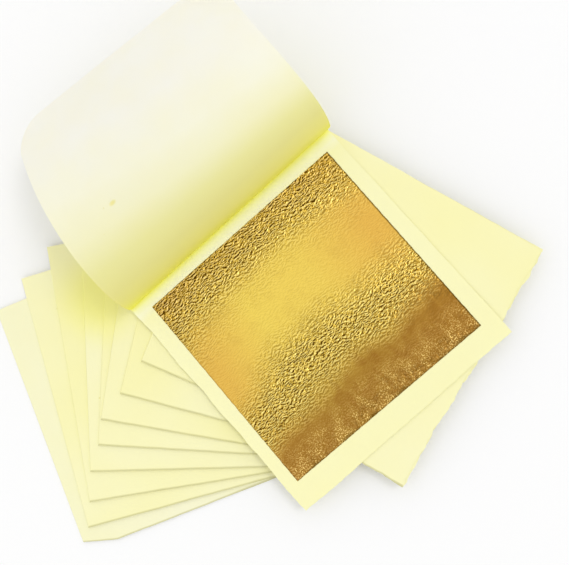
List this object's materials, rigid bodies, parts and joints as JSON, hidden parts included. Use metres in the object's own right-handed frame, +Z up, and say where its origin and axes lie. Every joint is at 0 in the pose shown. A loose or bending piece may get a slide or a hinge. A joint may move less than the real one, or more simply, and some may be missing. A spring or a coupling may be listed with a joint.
{
  "type": "gold leaf booklet",
  "caption": "Fanned pack of square paper folders, each holding a square of gold leaf; the top folder lies open with its cover curled back.",
  "frame": {"origin": "centre of the underside of the lowest folder", "axes": "+Z up off the table; the lowest folder's fold lies along Y on its -X side and its open side faces +X"},
  "size_m": [0.3234, 0.3143, 0.0706],
  "materials": {
    "folder_paper": "smooth translucent cream tissue, matt",
    "gold_leaf": "beaten foil, finely crinkled, satin to bright"
  },
  "bodies": {
    "folder_1": {"paper_folder_1": "folder_paper"},
    "folder_2": {"paper_folder_2": "folder_paper"},
    "folder_3": {"paper_folder_3": "folder_paper"},
    "folder_4": {"paper_folder_4": "folder_paper"},
    "folder_5": {"paper_folder_5": "folder_paper"},
    "folder_6": {"paper_folder_6": "folder_paper"},
    "folder_7": {"paper_folder_7": "folder_paper"},
    "folder_8": {"paper_folder_8": "folder_paper"},
    "folder_9": {"paper_folder_9": "folder_paper"},
    "leaf_1": {"gold_leaf_1": "gold_leaf"},
    "leaf_2": {"gold_leaf_2": "gold_leaf"},
    "leaf_3": {"gold_leaf_3": "gold_leaf"},
    "leaf_4": {"gold_leaf_4": "gold_leaf"},
    "leaf_5": {"gold_leaf_5": "gold_leaf"},
    "leaf_6": {"gold_leaf_6": "gold_leaf"},
    "leaf_7": {"gold_leaf_7": "gold_leaf"},
    "leaf_8": {"gold_leaf_8": "gold_leaf"},
    "leaf_9": {"gold_leaf_9": "gold_leaf"},
    "top_page": {"top_page": "folder_paper"},
    "top_leaf": {"top_leaf": "gold_leaf"},
    "cover_1": {"cover_panel_1": "folder_paper"},
    "cover_2": {"cover_panel_2": "folder_paper"},
    "cover_3": {"cover_panel_3": "folder_paper"},
    "cover_4": {"cover_panel_4": "folder_paper"},
    "cover_5": {"cover_panel_5": "folder_paper"},
    "cover_6": {"cover_panel_6": "folder_paper"},
    "cover_7": {"cover_panel_7": "folder_paper"},
    "cover_8": {"cover_panel_8": "folder_paper"},
    "cover_9": {"cover_panel_9": "folder_paper"},
    "cover_10": {"cover_panel_10": "folder_paper"},
    "cover_11": {"cover_panel_11": "folder_paper"},
    "cover_12": {"cover_panel_12": "folder_paper"}
  },
  "joints": [
    {"name": "fan_turn_2", "type": "hinge", "parent": "folder_1", "child": "folder_2", "pos_m": [0.05339, -0.14072, 0.0012], "axis": [0, 0, -1], "range_deg": [-5.8, 6]},
    {"name": "fan_turn_3", "type": "hinge", "parent": "folder_2", "child": "folder_3", "pos_m": [0.06884, -0.12766, 0.0024], "axis": [0, 0, -1], "range_deg": [-5.9, 6]},
    {"name": "fan_turn_4", "type": "hinge", "parent": "folder_3", "child": "folder_4", "pos_m": [0.0655, -0.10161, 0.0036], "axis": [0, 0, -1], "range_deg": [-7.7, 6]},
    {"name": "fan_turn_5", "type": "hinge", "parent": "folder_4", "child": "folder_5", "pos_m": [0.10134, -0.15837, 0.0048], "axis": [0, 0, -1], "range_deg": [-4.9, 6]},
    {"name": "fan_turn_6", "type": "hinge", "parent": "folder_5", "child": "folder_6", "pos_m": [0.08036, -0.08453, 0.006], "axis": [0, 0, -1], "range_deg": [-6.4, 6]},
    {"name": "fan_turn_7", "type": "hinge", "parent": "folder_6", "child": "folder_7", "pos_m": [0.08582, -0.20527, 0.0072], "axis": [0, 0, -1], "range_deg": [-5, 6]},
    {"name": "fan_turn_8", "type": "hinge", "parent": "folder_7", "child": "folder_8", "pos_m": [0.07426, -0.12024, 0.0084], "axis": [0, 0, -1], "range_deg": [-8.8, 6]},
    {"name": "fan_turn_9", "type": "hinge", "parent": "folder_8", "child": "folder_9", "pos_m": [0.00342, -0.13693, 0.0096], "axis": [0, 0, -1], "range_deg": [-8, 6]},
    {"name": "top_turn", "type": "hinge", "parent": "folder_9", "child": "top_page", "pos_m": [0.11383, 0.07801, 0.0108], "axis": [0, 0, -1], "range_deg": [-18, 15]},
    {"name": "leaf_slide_1", "type": "slide", "parent": "folder_1", "child": "leaf_1", "axis": [1, 0, 0], "range_m": [0, 0.171]},
    {"name": "leaf_slide_2", "type": "slide", "parent": "folder_2", "child": "leaf_2", "axis": [0.9949, -0.1011, 0], "range_m": [0, 0.171]},
    {"name": "leaf_slide_3", "type": "slide", "parent": "folder_3", "child": "leaf_3", "axis": [0.9792, -0.2028, 0], "range_m": [0, 0.171]},
    {"name": "leaf_slide_4", "type": "slide", "parent": "folder_4", "child": "leaf_4", "axis": [0.9432, -0.3322, 0], "range_m": [0, 0.171]},
    {"name": "leaf_slide_5", "type": "slide", "parent": "folder_5", "child": "leaf_5", "axis": [0.9114, -0.4115, 0], "range_m": [0, 0.171]},
    {"name": "leaf_slide_6", "type": "slide", "parent": "folder_6", "child": "leaf_6", "axis": [0.8599, -0.5105, 0], "range_m": [0, 0.171]},
    {"name": "leaf_slide_7", "type": "slide", "parent": "folder_7", "child": "leaf_7", "axis": [0.8121, -0.5835, 0], "range_m": [0, 0.171]},
    {"name": "leaf_slide_8", "type": "slide", "parent": "folder_8", "child": "leaf_8", "axis": [0.7133, -0.7009, 0], "range_m": [0, 0.171]},
    {"name": "leaf_slide_9", "type": "slide", "parent": "folder_9", "child": "leaf_9", "axis": [0.6088, -0.7934, 0], "range_m": [0, 0.171]},
    {"name": "top_leaf_lift", "type": "slide", "parent": "top_page", "child": "top_leaf", "axis": [0, 0, 1], "range_m": [0, 0.15]},
    {"name": "cover_fold", "type": "hinge", "parent": "top_page", "child": "cover_1", "pos_m": [0.0797, 0.07296, 0.0114], "axis": [-0.9426, -0.3338, 0], "range_deg": [-75.5, 0]},
    {"name": "cover_bend_1", "type": "hinge", "parent": "cover_1", "child": "cover_2", "pos_m": [0.08063, 0.07033, 0.0244], "axis": [-0.9462, -0.3165, -0.0675], "range_deg": [-22.66, 0]},
    {"name": "cover_bend_2", "type": "hinge", "parent": "cover_2", "child": "cover_3", "pos_m": [0.08008, 0.07212, 0.03755], "axis": [-0.9469, -0.3157, -0.0606], "range_deg": [-20.65, 0]},
    {"name": "cover_bend_3", "type": "hinge", "parent": "cover_3", "child": "cover_4", "pos_m": [0.07818, 0.07821, 0.0492], "axis": [-0.9483, -0.3127, -0.0545], "range_deg": [-18.63, 0]},
    {"name": "cover_bend_4", "type": "hinge", "parent": "cover_4", "child": "cover_5", "pos_m": [0.07536, 0.08756, 0.0582], "axis": [-0.9501, -0.3078, -0.0498], "range_deg": [-16.62, 0]},
    {"name": "cover_bend_5", "type": "hinge", "parent": "cover_5", "child": "cover_6", "pos_m": [0.07203, 0.09902, 0.06404], "axis": [-0.9522, -0.3019, -0.0468], "range_deg": [-14.61, 0]},
    {"name": "cover_bend_6", "type": "hinge", "parent": "cover_6", "child": "cover_7", "pos_m": [0.06851, 0.11155, 0.06669], "axis": [-0.9543, -0.2954, -0.0454], "range_deg": [-12.59, 0]},
    {"name": "cover_bend_7", "type": "hinge", "parent": "cover_7", "child": "cover_8", "pos_m": [0.06504, 0.12437, 0.06644], "axis": [-0.9563, -0.2887, -0.0455], "range_deg": [-10.58, 0]},
    {"name": "cover_bend_8", "type": "hinge", "parent": "cover_8", "child": "cover_9", "pos_m": [0.06175, 0.13696, 0.06376], "axis": [-0.9582, -0.2822, -0.0469], "range_deg": [-8.56, 0]},
    {"name": "cover_bend_9", "type": "hinge", "parent": "cover_9", "child": "cover_10", "pos_m": [0.05871, 0.14905, 0.05918], "axis": [-0.9599, -0.2758, -0.0493], "range_deg": [-6.55, 0]},
    {"name": "cover_bend_10", "type": "hinge", "parent": "cover_10", "child": "cover_11", "pos_m": [0.05589, 0.16057, 0.05321], "axis": [-0.9615, -0.2698, -0.0525], "range_deg": [-4.53, 0]},
    {"name": "cover_bend_11", "type": "hinge", "parent": "cover_11", "child": "cover_12", "pos_m": [0.05326, 0.17162, 0.04632], "axis": [-0.9629, -0.264, -0.0561], "range_deg": [-2.52, 0]}
  ]
}
